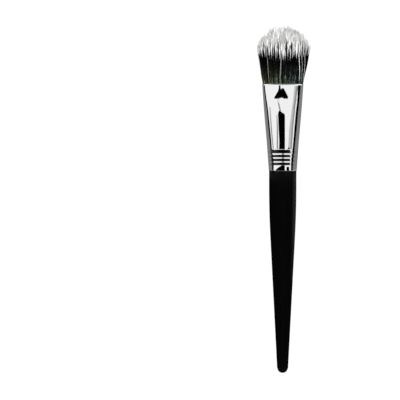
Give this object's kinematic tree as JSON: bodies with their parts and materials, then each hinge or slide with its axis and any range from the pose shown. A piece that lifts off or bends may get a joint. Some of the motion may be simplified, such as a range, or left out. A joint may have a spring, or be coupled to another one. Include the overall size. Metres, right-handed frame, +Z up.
{
  "type": "stippling brush",
  "caption": "Stippling brush with a flared two-tone tuft, a crimped and flattened metal ferrule and a tapering lacquered wooden handle.",
  "frame": {"origin": "on the surface that the brush lies on, under the middle of its bounding box", "axes": "+Y along the brush towards the tips of its tuft, +X across the tuft, +Z up from the surface"},
  "size_m": [0.0272, 0.1798, 0.0201],
  "materials": {
    "black_lacquer": "black lacquer on turned wood, satin",
    "chrome_plate": "bright plate on thin drawn metal",
    "resin": "cast resin, amber",
    "dark_hair": "glossy black hair",
    "pale_fibre": "warm white synthetic fibre"
  },
  "bodies": {
    "root": {"handle": "black_lacquer", "ferrule": "chrome_plate", "resin_plug": "resin", "dark_hair": "dark_hair", "pale_fibres": "pale_fibre"}
  },
  "joints": []
}
